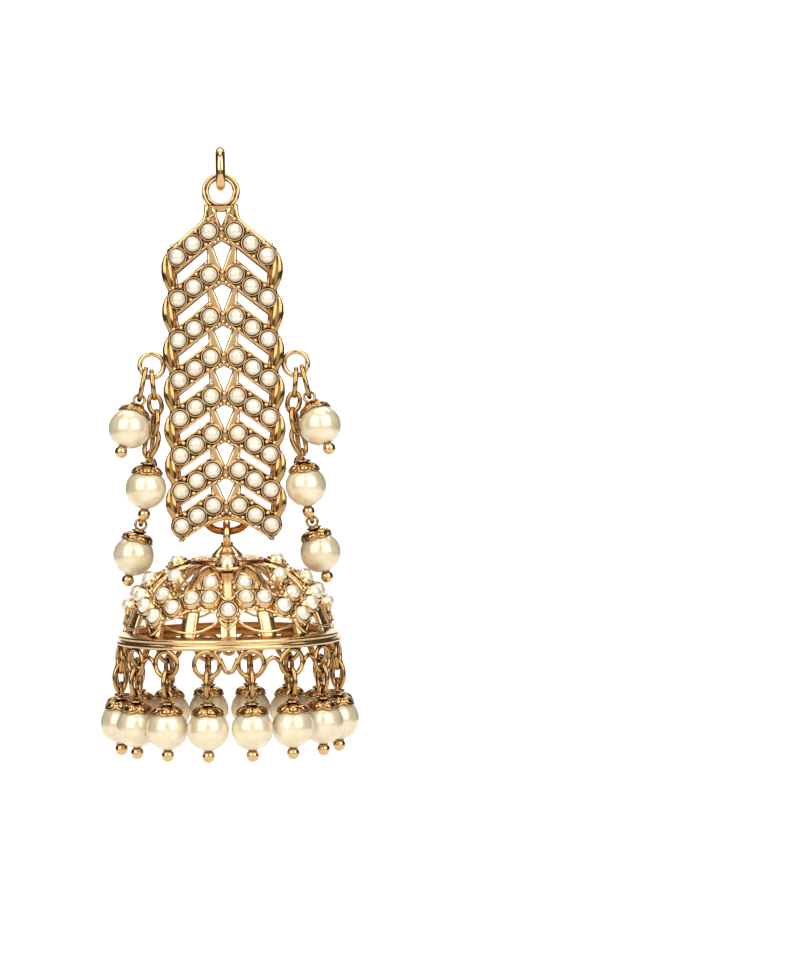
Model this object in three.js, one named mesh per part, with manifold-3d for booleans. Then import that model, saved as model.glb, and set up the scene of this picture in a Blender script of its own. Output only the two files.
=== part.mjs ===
// A jhumka earring: a hanging ring, a pierced plaque set with half pearls, pearl strands at its
// sides, and a pierced bell with a pearl garland and a fringe of pearl drops.
// Millimetres, +Z up, the front faces -Y. The origin is where the hanging ring rests on its wire.
import * as THREE from 'three';
import { mergeVertices } from 'three/addons/utils/BufferGeometryUtils.js';
import Module from 'manifold-3d';

const wasm = await Module();
wasm.setup();

// Driving dimensions
const linkGap = 0.3;
const hangWire = 1.4;
const hangHoleHeight = 3.72;
const hangHoleDepth = 2.6;
const plaqueRingWire = 1.08;
const plaqueRingHole = 3.36;

const plateThickness = 1.3;
const rowCount = 8;
const neckHeight = 4.04;
const firstPitch = 6.24;
const lastPitch = 5.1;
const stoneDiameter = 2.5;
const stoneHeight = 0.9;
const seatWall = 0.2;
const seatHeight = 0.45;
const innerStoneX = 1.87;
const middleStoneX = 4.2;
const outerStoneX = 6.5;

const eyeletWire = 0.8;
const eyeletWidth = 6.2;
const eyeletReach = 4.4;
const eyeletLean = 50;
const loopWire = 1.1;
const loopDepth = 3.5;
const loopPlay = 1.3;
const loopSink = 0.2;

const bellWall = 1;
const bellRadius = 15.5;
const bellHeight = 10.8;
const finialHeight = 2.4;
const finialRadius = 2.2;
const rimStep = 1;
const rimHeight = 1.5;
const ribCount = 16;
const ribWidth = 2.1;
const ribTopWidth = 1.1;

const laceWire = 0.58;
const laceLoop = 4.3;
const laceSink = 0.2;

const dropLinkWire = 0.6;
const dropLinkLength = 4.3;
const dropLinkWidth = 2.2;
const pinEye = 2;
const pinEyeWire = 0.42;
const pinSink = 0.15;
const washerDiameter = 2.2;
const washerHeight = 0.45;
const capDiameter = 4.5;
const capHeight = 1.2;
const pearlDiameter = 6;
const ballDiameter = 1.84;
const ballSink = 0.2;

const leafBulge = 0.65;
const sideRingDiameter = 4.2;
const sideRingWire = 0.75;
const sideRingRow = 3;
const sideRingSink = 0.25;
const chainWire = 0.6;
const chainWidth = 2.4;
const strandLinkLength = 5.2;
const frontStrand = 11.2;
const rearStrand = 21.2;
const solderDepth = 0.1;

const roundSides = 10;
const wireSides = 5;
const bellSides = 32;

// Colours from the photograph
const gold = { color: 0xe8be84, roughness: 0.22, metalness: 1 };
const pearl = { color: 0xefe6cf, roughness: 0.18, metalness: 0 };

// Solids: a geometry becomes a solid and back
const toSolid = (geometry) => {
  geometry.deleteAttribute('normal');
  geometry.deleteAttribute('uv');
  const merged = mergeVertices(geometry, 1e-4);
  const vertProperties = new Float32Array(merged.attributes.position.array);
  const triVerts = new Uint32Array(merged.index.array);
  return new wasm.Manifold(new wasm.Mesh({ numProp: 3, vertProperties, triVerts }));
};

const toGeometry = (solid) => {
  const mesh = solid.getMesh();
  const geometry = new THREE.BufferGeometry();
  geometry.setAttribute('position', new THREE.BufferAttribute(mesh.vertProperties, 3));
  geometry.setIndex(new THREE.BufferAttribute(mesh.triVerts, 1));
  return geometry;
};

const joinAll = (solids) => solids.reduce((whole, solid) => whole.add(solid));

const radians = THREE.MathUtils.degToRad;

// A lathe round +Z from [radius, z] pairs that start and end on the axis
const turned = (profile, sides) => {
  const points = profile.map(([r, z]) => new THREE.Vector2(r, z));
  return new THREE.LatheGeometry(points, sides).rotateX(Math.PI / 2);
};

class Oval extends THREE.Curve {
  constructor(centre, halfA, halfB) {
    super();
    Object.assign(this, { centre, halfA, halfB });
  }

  getPoint(t) {
    const angle = 2 * Math.PI * t;
    return this.centre.clone()
      .addScaledVector(this.halfA, Math.cos(angle))
      .addScaledVector(this.halfB, Math.sin(angle));
  }
}

const at = (x, y, z) => new THREE.Vector3(x, y, z);

// A closed wire ring round a centre; halfA and halfB reach from it to the wire's middle line
const wireRing = (centre, halfA, halfB, wire, segments = roundSides) =>
  new THREE.TubeGeometry(new Oval(centre, halfA, halfB), segments, wire / 2, wireSides, true);

const part = new THREE.Group();

const addMesh = (name, geometry, finish, parent = part) => {
  const mesh = new THREE.Mesh(geometry, new THREE.MeshStandardMaterial(finish));
  mesh.name = name;
  parent.add(mesh);
  return mesh;
};

// Hanging ring: an oval ring seen edge-on from the front
const hangMiddle = at(0, 0, -hangHoleHeight / 2);
addMesh('hanging_ring', wireRing(
  hangMiddle,
  at(0, (hangHoleDepth + hangWire) / 2, 0),
  at(0, 0, (hangHoleHeight + hangWire) / 2),
  hangWire, 12,
), gold);

// Plaque ring: its upper arc rests on the hanging ring's lower wire
const plaqueRingZ = -hangHoleHeight + linkGap - plaqueRingHole / 2;
const plaqueRingRadius = (plaqueRingHole + plaqueRingWire) / 2;

// Plaque rows: each stone row is an inverted V, and the pitch shrinks evenly downwards
const rowPitch = (row) => firstPitch + ((lastPitch - firstPitch) * row) / (rowCount - 2);
const plaqueTop = plaqueRingZ - plaqueRingHole / 2;
const rowZ = [plaqueTop - neckHeight];
for (let row = 1; row < rowCount; row += 1) rowZ.push(rowZ[row - 1] - rowPitch(row - 1));
const rowDrop = (row) => 0.58 * rowPitch(Math.min(row, rowCount - 2));
const seatRadius = stoneDiameter / 2 + seatWall;
const railX = outerStoneX + seatRadius;
const leafX = railX + leafBulge;

// The plaque's half outline: x as shares of the rail's, or of the leaves' reach, z of the pitch
const neckOutline = [
  { x: 0.2, z: 0.05 },
  { x: 0.28, z: 0.1 },
  { x: 0.275, z: 0.4 },
  { x: 0.345, z: 0.62 },
  { x: 0.6, z: 1.02 },
];
const railBulge = [
  { x: 0.926, z: 0.16 },
  { x: 0.91, z: -0.2 },
  { x: 0.995, z: -0.38 },
  { x: 1.0, z: -0.64 },
  { x: 0.92, z: -0.8 },
];
const footOutline = [
  { x: 1.0, z: 0.16 },
  { x: 1.0, z: -0.1 },
  { x: 0.94, z: -0.26 },
  { x: 0.8, z: -0.45 },
  { x: 0.66, z: -0.22 },
  { x: 0.55, z: 0.01 },
  { x: 0.34, z: 0.08 },
];
const halfOutline = () => {
  const points = neckOutline.map(({ x, z }) => [x * railX, plaqueTop - z * neckHeight]);
  for (let row = 0; row < rowCount - 1; row += 1) {
    const outerZ = rowZ[row] - rowDrop(row);
    for (const { x, z } of railBulge) points.push([x * leafX, outerZ + z * rowPitch(row)]);
  }
  const footZ = rowZ[rowCount - 1] - rowDrop(rowCount - 1);
  for (const { x, z } of footOutline) points.push([x * railX, footZ + z * lastPitch]);
  return points;
};
const plaqueFootZ = rowZ[rowCount - 1] - 0.25 * lastPitch;

// Gaps between two rows: a heart at the centre and a slanted gap on each side
const heartGap = [
  { x: 0, z: -0.235 },
  { x: 0.66, z: -0.36 },
  { x: 0.42, z: -0.56 },
  { x: 0, z: -0.9 },
];
const slantGap = [
  { x: 0.28, z: -0.42 },
  { x: 0.82, z: -0.99 },
  { x: 0.8, z: -1.22 },
  { x: 0.27, z: -0.66 },
];
const neckGap = [
  { x: 0, z: 0.32 },
  { x: 0.5, z: 0.26 },
  { x: 0, z: 0.82 },
];
const mirrored = (points) => {
  const others = points.filter(([x]) => x !== 0).map(([x, z]) => [-x, z]);
  return [...points, ...others.reverse()];
};
const outlinePath = (points, Type) => {
  const path = new Type();
  path.setFromPoints(points.map(([x, z]) => new THREE.Vector2(x, z)));
  return path;
};
const makePlate = () => {
  const anticlockwise = mirrored([...halfOutline(), [0, plaqueFootZ]]).reverse();
  const shape = outlinePath(anticlockwise, THREE.Shape);
  const neckPoints = neckGap.map(({ x, z }) => [x * innerStoneX, plaqueTop - z * neckHeight]);
  shape.holes.push(outlinePath(mirrored(neckPoints), THREE.Path));
  for (let row = 0; row < rowCount - 1; row += 1) {
    const pitch = rowPitch(row);
    const heart = heartGap.map(({ x, z }) => [x * innerStoneX, rowZ[row] + z * pitch]);
    shape.holes.push(outlinePath(mirrored(heart), THREE.Path));
    for (const side of [-1, 1]) {
      const slant = slantGap.map(({ x, z }) => [side * x * railX, rowZ[row] + z * pitch]);
      shape.holes.push(outlinePath(slant, THREE.Path));
    }
  }
  const plate = new THREE.ExtrudeGeometry(shape, { depth: plateThickness, bevelEnabled: false });
  return toSolid(plate.rotateX(Math.PI / 2).translate(0, plateThickness / 2, 0));
};

// A half pearl in its seat, standing on z = 0 and sunk below it
const stoneSink = 0.3;
const settingProfile = [
  [0, -stoneSink],
  [seatRadius, -stoneSink],
  [0.42 * stoneDiameter, seatHeight + 0.55 * stoneHeight],
  [0, seatHeight + stoneHeight],
];
const setting = () => turned(settingProfile, roundSides);

const plaqueSettings = () => {
  const solids = [];
  for (let row = 0; row < rowCount; row += 1) {
    for (const side of [-1, 1]) {
      const places = [
        [innerStoneX, rowZ[row]],
        [middleStoneX, rowZ[row] - 0.5 * rowDrop(row)],
        [outerStoneX, rowZ[row] - rowDrop(row)],
      ];
      for (const [x, z] of places) {
        const stone = setting().rotateX(Math.PI / 2);
        solids.push(toSolid(stone.translate(side * x, -plateThickness / 2, z)));
      }
    }
  }
  return solids;
};

// Side rings stand out from the rails below the third row, and carry the strands
const sideRingX = leafX + sideRingDiameter / 2 - sideRingSink;
const sideRingZ = rowZ[sideRingRow - 1] - rowDrop(sideRingRow - 1) - 0.62 * rowPitch(sideRingRow - 1);
const sideRingHalf = (sideRingDiameter - sideRingWire) / 2;
const sideRing = (side) => toSolid(wireRing(
  at(side * sideRingX, 0, sideRingZ), at(sideRingHalf, 0, 0), at(0, 0, sideRingHalf), sideRingWire,
));

// Eyelet: an oval ring that leans back from the plaque's foot
const eyeletHalf = (eyeletReach - eyeletWire) / 2;
const leanBack = at(0, Math.cos(radians(eyeletLean)), -Math.sin(radians(eyeletLean)));
const eyeletStart = at(0, 0, plaqueFootZ + 0.1);
const eyeletMiddle = eyeletStart.clone().addScaledVector(leanBack, eyeletHalf);
const eyeletEnd = eyeletStart.clone().addScaledVector(leanBack, 2 * eyeletHalf);
const eyelet = toSolid(wireRing(
  eyeletMiddle, at((eyeletWidth - eyeletWire) / 2, 0, 0), leanBack.clone().multiplyScalar(eyeletHalf), eyeletWire, 12,
));

const plaqueRing = toSolid(wireRing(
  at(0, 0, plaqueRingZ), at(plaqueRingRadius, 0, 0), at(0, 0, plaqueRingRadius), plaqueRingWire, 14,
));

addMesh('plaque', toGeometry(joinAll([
  makePlate(), plaqueRing, eyelet, sideRing(-1), sideRing(1), ...plaqueSettings(),
])), gold);

// A pearl drop, hung from its eye's centre: eye, washer, petal cap, pearl and ball tip
const pinEyeHalf = (pinEye - pinEyeWire) / 2;
const washerTop = -pinEye / 2 + pinSink;
const capTop = washerTop - washerHeight;
const pearlRadius = pearlDiameter / 2;
const capRadius = capDiameter / 2;
const pearlZ = capTop - capHeight - Math.sqrt(pearlRadius ** 2 - (0.93 * capRadius) ** 2);
const ballRadius = ballDiameter / 2;
const ballZ = pearlZ - pearlRadius - ballRadius + ballSink;
const dropProfile = () => {
  const points = [[0, ballZ - ballRadius]];
  points.push([ballRadius, ballZ - 0.1 * ballRadius]);
  for (const angle of [-72, -38, 0, 38]) {
    points.push([pearlRadius * Math.cos(radians(angle)), pearlZ + pearlRadius * Math.sin(radians(angle))]);
  }
  points.push([capRadius, capTop - capHeight]);
  points.push([washerDiameter / 2, washerTop]);
  points.push([0, washerTop]);
  return points;
};
const pearlDrop = () => {
  const body = toSolid(turned(dropProfile(), roundSides));
  const eye = toSolid(wireRing(at(0, 0, 0), at(pinEyeHalf, 0, 0), at(0, 0, pinEyeHalf), pinEyeWire));
  return toGeometry(body.add(eye));
};

// A link in the YZ plane between the middle lines of its top and bottom wires
const linkBetween = (top, foot, width, wire, turn = 90) => {
  const middle = top.clone().lerp(foot, 0.5);
  const half = foot.clone().sub(top).multiplyScalar(0.5);
  const across = at(Math.cos(radians(turn)), Math.sin(radians(turn)), 0);
  return wireRing(middle, across.multiplyScalar((width - wire) / 2), half, wire);
};

const leaned = (geometry, eye, leanX, leanY) => {
  geometry.rotateX(radians(leanX)).rotateY(radians(leanY));
  return geometry.translate(eye.x, eye.y, eye.z);
};

// Side strands. The first drop leans out on a link of its own. A chain's route gives the
// contacts of its soldered links as shares of the strand's length, from the middle of the side
// ring's lower wire, +x outwards.
const chainHold = sideRingWire / 2 + linkGap + chainWire / 2;
const frontRoute = [
  { x: -0.025, y: 0.005, z: -0.245, turn: 90 },
  { x: -0.05, y: 0.015, z: -0.45, turn: 0 },
  { x: -0.02, y: 0.02, z: -0.71, turn: 70 },
  { x: 0.06, y: 0, z: -1, turn: 0 },
];
const rearRoute = [
  { x: 0, y: 0.137, z: -0.385, turn: 60 },
  { x: 0.02, y: 0.2, z: -0.575, turn: 90 },
  { x: 0.05, y: 0.2, z: -0.79, turn: 0 },
  { x: 0.095, y: 0.185, z: -1, turn: 90 },
];
const rearStart = 1;
const ringFloorZ = sideRingZ - sideRingHalf;
const strandPoint = (side, { x, y, z }, length) =>
  at(side * (sideRingX + x * length), y * length, ringFloorZ + z * length);
const overlap = (chainWire - solderDepth) / 2;
const chainLinks = (side, start, route, length) => {
  const stops = [start, ...route.map((stop) => strandPoint(side, stop, length))];
  return route.map(({ turn }, index) => {
    const along = stops[index + 1].clone().sub(stops[index]).normalize();
    const top = stops[index].clone().addScaledVector(along, -overlap);
    const foot = stops[index + 1].clone().addScaledVector(along, overlap);
    return { foot, solid: toSolid(linkBetween(top, foot, chainWidth, chainWire, side * turn)) };
  });
};
const firstLean = 13;
const firstLink = (side) => {
  const outward = radians(38);
  const held = at(sideRingX + sideRingHalf * Math.sin(outward), 0, sideRingZ - sideRingHalf * Math.cos(outward));
  const down = at(Math.sin(radians(firstLean)), 0, -Math.cos(radians(firstLean)));
  const top = held.addScaledVector(down, -chainHold);
  const foot = top.clone().addScaledVector(down, strandLinkLength - chainWire);
  for (const point of [top, foot]) point.x *= side;
  return { foot, geometry: linkBetween(top, foot, chainWidth, chainWire) };
};
const strandLeans = [
  { leanX: -20, leanY: 20, eyeTurn: 0 },
  { leanX: 0, leanY: 5, eyeTurn: 90 },
  { leanX: 0, leanY: 14, eyeTurn: 0 },
];
for (const [name, side] of [['left', -1], ['right', 1]]) {
  const first = firstLink(side);
  const chainTop = at(side * sideRingX, 0, ringFloorZ + chainHold - overlap);
  const front = chainLinks(side, chainTop, frontRoute, frontStrand);
  const branch = strandPoint(side, frontRoute[rearStart], frontStrand);
  const rear = chainLinks(side, branch, rearRoute, rearStrand);
  addMesh(`${name}_link`, first.geometry, gold);
  addMesh(`${name}_chain`, toGeometry(joinAll([...front, ...rear].map(({ solid }) => solid))), gold);
  [first.foot, front.at(-1).foot, rear.at(-1).foot].forEach((eye, index) => {
    const { leanX, leanY, eyeTurn } = strandLeans[index];
    const drop = pearlDrop().rotateZ(radians(eyeTurn));
    addMesh(`${name}_pearl_${index + 1}`, leaned(drop, eye, leanX, -side * leanY), pearl);
  });
}

// Bell: everything below hangs from the eyelet's rear arc, on the bell's own axis
const bell = new THREE.Group();
bell.position.set(0, eyeletEnd.y, 0);
part.add(bell);

const loopTop = eyeletEnd.z + eyeletWire / 2 + linkGap + loopWire;
const loopFloor = eyeletEnd.z - eyeletWire / 2 - loopPlay;
const loopHalf = (loopTop - loopFloor) / 2;
const bellLoop = toSolid(wireRing(
  at(0, 0, loopTop - loopWire / 2 - loopHalf),
  at(0, (loopDepth - loopWire) / 2, 0),
  at(0, 0, loopHalf),
  loopWire, 12,
));

const finialTop = loopFloor + loopSink;
const bellTop = finialTop - finialHeight;
const rimTop = bellTop - bellHeight;
const rimFloor = rimTop - rimHeight;
const rimRadius = bellRadius + rimStep;
const bellProfile = [
  { r: 0.35, z: 0.03 },
  { r: 0.62, z: 0.18 },
  { r: 0.86, z: 0.52 },
  { r: 0.985, z: 0.92 },
];
const bellOuter = bellProfile.map(({ r, z }) => [r * bellRadius, bellTop - z * bellHeight]);
const bellShell = () => {
  const inner = bellOuter.slice(1).map(([r, z]) => [r - bellWall, z - 0.45 * bellWall]);
  return toSolid(turned([
    [0, bellTop - 0.6 * bellWall],
    ...inner,
    [bellRadius - bellWall, rimFloor],
    [rimRadius, rimFloor],
    [rimRadius, rimTop],
    [bellRadius, rimTop],
    ...bellOuter.toReversed(),
    [0, bellTop],
  ], bellSides));
};

// Windows between the ribs: one row round the shoulder and one above the rim
const ribStep = 360 / ribCount;
const shoulderWindow = { inner: 0.37, outer: 0.7 };
const lowerWindow = { top: 0.66, foot: 0.965 };
const windowHalf = (radius, rib) => radius * Math.sin(radians(ribStep / 2)) - rib / 2;
const windowCutter = () => {
  const inner = shoulderWindow.inner * bellRadius;
  const outer = shoulderWindow.outer * bellRadius;
  const innerHalf = windowHalf(inner, ribTopWidth);
  const outerHalf = windowHalf(outer, 0.85 * ribWidth);
  const shape = outlinePath(
    [[inner, -innerHalf], [outer, -outerHalf], [outer, outerHalf], [inner, innerHalf]], THREE.Shape,
  );
  const shoulderDepth = 0.4 * bellHeight;
  const shoulder = new THREE.ExtrudeGeometry(shape, { depth: shoulderDepth, bevelEnabled: false });
  shoulder.translate(0, 0, bellTop - shoulderDepth);
  const height = (lowerWindow.foot - lowerWindow.top) * bellHeight;
  const lower = new THREE.BoxGeometry(5 * bellWall, 2 * windowHalf(bellRadius, ribWidth), height);
  lower.translate(bellRadius, 0, bellTop - 0.5 * (lowerWindow.top + lowerWindow.foot) * bellHeight);
  return toSolid(shoulder).add(toSolid(lower));
};

// Copies round the bell, the first at the front
const roundBell = (solid, count, offset = 0) => {
  const copies = [];
  for (let index = 0; index < count; index += 1) {
    copies.push(solid.rotate([0, 0, ((index + offset) * 360) / count - 90]));
  }
  return copies;
};

// Four half pearls near the bell's top
const topStones = { count: 4, z: 0.07 };
const shellAt = (share) => {
  const next = Math.max(1, bellProfile.findIndex(({ z }) => z >= share));
  const [above, below] = [bellProfile[next - 1], bellProfile[next]];
  const mix = (share - above.z) / (below.z - above.z);
  return {
    r: (above.r + mix * (below.r - above.r)) * bellRadius,
    slope: Math.atan2((below.z - above.z) * bellHeight, (below.r - above.r) * bellRadius),
  };
};
const topSettings = () => {
  const { r, slope } = shellAt(topStones.z);
  const stone = setting().rotateY(slope).translate(r, 0, bellTop - topStones.z * bellHeight);
  return roundBell(toSolid(stone), topStones.count);
};

// Finial: a small concave cone that holds the bell's loop
const finial = toSolid(turned([
  [0, bellTop - 0.5 * bellWall],
  [0.37 * bellRadius, bellTop - 0.45 * bellWall],
  [finialRadius, bellTop + 0.15 * finialHeight],
  [0.45 * finialRadius, bellTop + 0.5 * finialHeight],
  [0.3 * finialRadius, finialTop],
  [0, finialTop],
], 12));

// Lace: wire loops soldered under the rim, one for each drop
const laceHalf = (laceLoop - laceWire) / 2;
const laceRadius = rimRadius - 0.5 * laceWire - 0.1;
const laceZ = rimFloor + laceSink - laceLoop / 2;
const lace = toSolid(wireRing(
  at(laceRadius, 0, laceZ), at(0, laceHalf, 0), at(0, 0, laceHalf), laceWire,
));

const bellSolid = bellShell().subtract(joinAll(roundBell(windowCutter(), ribCount, 0.5)));
addMesh('dome', toGeometry(joinAll([
  bellSolid, finial, bellLoop, ...topSettings(), ...roundBell(lace, ribCount, 0.5),
])), gold, bell);

// Fringe: a link and a pearl drop under each lace loop
const fringeTop = at(laceRadius, 0, laceZ - laceHalf + laceWire / 2 + linkGap + dropLinkWire / 2);
const fringeEye = fringeTop.clone().setZ(fringeTop.z - dropLinkLength + dropLinkWire);
for (let index = 0; index < ribCount; index += 1) {
  const number = String(index + 1).padStart(2, '0');
  const turn = radians((index + 0.5) * ribStep - 90);
  const link = linkBetween(fringeTop, fringeEye, dropLinkWidth, dropLinkWire, 0);
  addMesh(`rim_link_${number}`, link.rotateZ(turn), gold, bell);
  const drop = pearlDrop().rotateZ(Math.PI / 2).translate(...fringeEye.toArray());
  addMesh(`rim_pearl_${number}`, drop.rotateZ(turn), pearl, bell);
}

export default part;
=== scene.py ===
import math

import bmesh
import bpy
from mathutils import Matrix, Vector


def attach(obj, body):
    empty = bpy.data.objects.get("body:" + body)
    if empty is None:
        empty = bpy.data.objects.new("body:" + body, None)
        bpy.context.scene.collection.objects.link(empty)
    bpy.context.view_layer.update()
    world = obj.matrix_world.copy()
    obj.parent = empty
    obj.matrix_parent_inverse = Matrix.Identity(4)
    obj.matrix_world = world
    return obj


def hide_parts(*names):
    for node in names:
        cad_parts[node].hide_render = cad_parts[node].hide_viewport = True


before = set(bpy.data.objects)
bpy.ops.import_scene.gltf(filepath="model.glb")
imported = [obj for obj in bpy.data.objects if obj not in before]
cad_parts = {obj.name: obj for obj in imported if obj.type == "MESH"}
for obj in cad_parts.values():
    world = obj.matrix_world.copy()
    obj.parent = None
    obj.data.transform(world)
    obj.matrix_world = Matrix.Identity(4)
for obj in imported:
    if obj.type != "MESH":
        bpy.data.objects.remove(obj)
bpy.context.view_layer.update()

# Studio: a pale seamless sweep of paper under and behind the earring. Two large soft boxes in
# front, left and right, are what the pearls mirror. Weak ones in front and above soften their
# shadows, one lights the wall, and the room all round is dim and cream.
MM = 0.001


def linear(hex_colour):
    """sRGB hex to the linear colour that shaders take."""
    channels = [int(hex_colour[i:i + 2], 16) / 255 for i in (1, 3, 5)]
    return [c / 12.92 if c <= 0.04045 else ((c + 0.055) / 1.055) ** 2.4 for c in channels] + [1]


def add(tree, kind, settings=None, **links):
    """A node with its settings, and its sockets linked or set by name (spaces as underscores)."""
    node = tree.nodes.new(kind)
    for key, value in (settings or {}).items():
        setattr(node, key, value)
    for key, value in links.items():
        socket = node.inputs[int(key[1:])] if key[0] == "_" else node.inputs[key.replace("_", " ")]
        if isinstance(value, bpy.types.NodeSocket):
            tree.links.new(value, socket)
        else:
            socket.default_value = value
    return node


def new_material(name):
    material = bpy.data.materials.new(name)
    material.use_nodes = True
    material.node_tree.nodes.clear()
    return material, material.node_tree


def painted_paper():
    """Matt photographic backdrop paper: white, with faint clouds of fibre about 8 mm wide."""
    material, tree = new_material("backdrop_paper")
    place = add(tree, "ShaderNodeTexCoord").outputs["Object"]
    mottle = add(tree, "ShaderNodeTexNoise", Vector=place, Scale=120.0, Detail=3.0)
    colour = add(tree, "ShaderNodeMix", {"data_type": "RGBA"}, Factor=mottle.outputs["Fac"])
    colour.inputs["A"].default_value = linear("#FBFAF8")
    colour.inputs["B"].default_value = linear("#F4F3F0")
    paper = add(tree, "ShaderNodeBsdfPrincipled", Base_Color=colour.outputs["Result"], Roughness=0.9)
    add(tree, "ShaderNodeOutputMaterial", Surface=paper.outputs["BSDF"])
    return material


def backdrop_sweep():
    floor_z, wall_y, bend, half_width, front_y, top_z = -0.125, 0.75, 0.25, 0.31, -0.3, 0.4
    bend_steps = 12
    profile = [(front_y, floor_z)]
    for step in range(bend_steps + 1):
        angle = math.radians(90 * step / bend_steps)
        profile.append((wall_y - bend + bend * math.sin(angle), floor_z + bend - bend * math.cos(angle)))
    profile.append((wall_y, top_z))
    verts = [(x, y, z) for y, z in profile for x in (-half_width, half_width)]
    faces = [(2 * i, 2 * i + 1, 2 * i + 3, 2 * i + 2) for i in range(len(profile) - 1)]
    mesh = bpy.data.meshes.new("backdrop")
    mesh.from_pydata(verts, [], faces)
    mesh.shade_smooth()
    sweep = bpy.data.objects.new("backdrop", mesh)
    bpy.context.collection.objects.link(sweep)
    mesh.materials.append(painted_paper())


backdrop_sweep()


def soft_box(name, place, target, size, power):
    light = bpy.data.lights.new(name, "AREA")
    light.shape = "RECTANGLE"
    light.size, light.size_y = size
    light.energy = power
    lamp = bpy.data.objects.new(name, light)
    lamp.location = place
    lamp.rotation_euler = (Vector(target) - Vector(place)).to_track_quat("-Z", "Y").to_euler()
    bpy.context.collection.objects.link(lamp)


earring_middle, wall_middle = (0, 0, -0.045), (0, 0.75, 0.05)
for side_name, side in (("left", -1), ("right", 1)):
    soft_box(f"soft_box_{side_name}", (side * 0.38, -0.5, 0.3), earring_middle, (0.58, 0.76), 3.9)
soft_box("soft_box_front", (0, -0.85, -0.04), earring_middle, (0.5, 0.4), 0.42)
soft_box("soft_box_top", (0, 0.0, 0.6), earring_middle, (0.5, 0.5), 1.4)
soft_box("soft_box_back", (0, 0.3, 0.5), wall_middle, (0.8, 0.3), 4.5)

world = bpy.data.worlds.new("room")
bpy.context.scene.world = world
world.use_nodes = True
world.node_tree.nodes.clear()
room = add(world.node_tree, "ShaderNodeBackground", Color=linear("#F4EDE2"), Strength=0.07)
add(world.node_tree, "ShaderNodeOutputWorld", Surface=room.outputs["Background"])

# Camera: level with the bell's shoulder and straight in front, turned a little to the right so
# that the earring stands left of the middle, and rolled by the lean that it hangs with.
bpy.context.scene.view_settings.view_transform = "Standard"
camera_data = bpy.data.cameras.new("camera")
camera = bpy.data.objects.new("camera", camera_data)
bpy.context.collection.objects.link(camera)
camera_data.sensor_width = 36
camera_data.lens = 155
camera_place = Vector((0, -0.6, -0.0228))
camera_target = Vector((0.0253, 0, -0.0473))
lean = math.radians(0.9)
look = (camera_target - camera_place).to_track_quat("-Z", "Y").to_matrix().to_4x4()
camera.matrix_world = Matrix.Translation(camera_place) @ look @ Matrix.Rotation(-lean, 4, "Z")
bpy.context.scene.camera = camera

# Hanging ring: an oval ring of thick polished wire, gold plated brass, closed by soldering. It
# is seen edge-on. The ear wire passes through it.
HANG_WIRE, HANG_HOLE_HEIGHT, HANG_HOLE_DEPTH, LINK_GAP = 1.4, 3.72, 2.6, 0.3


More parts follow.
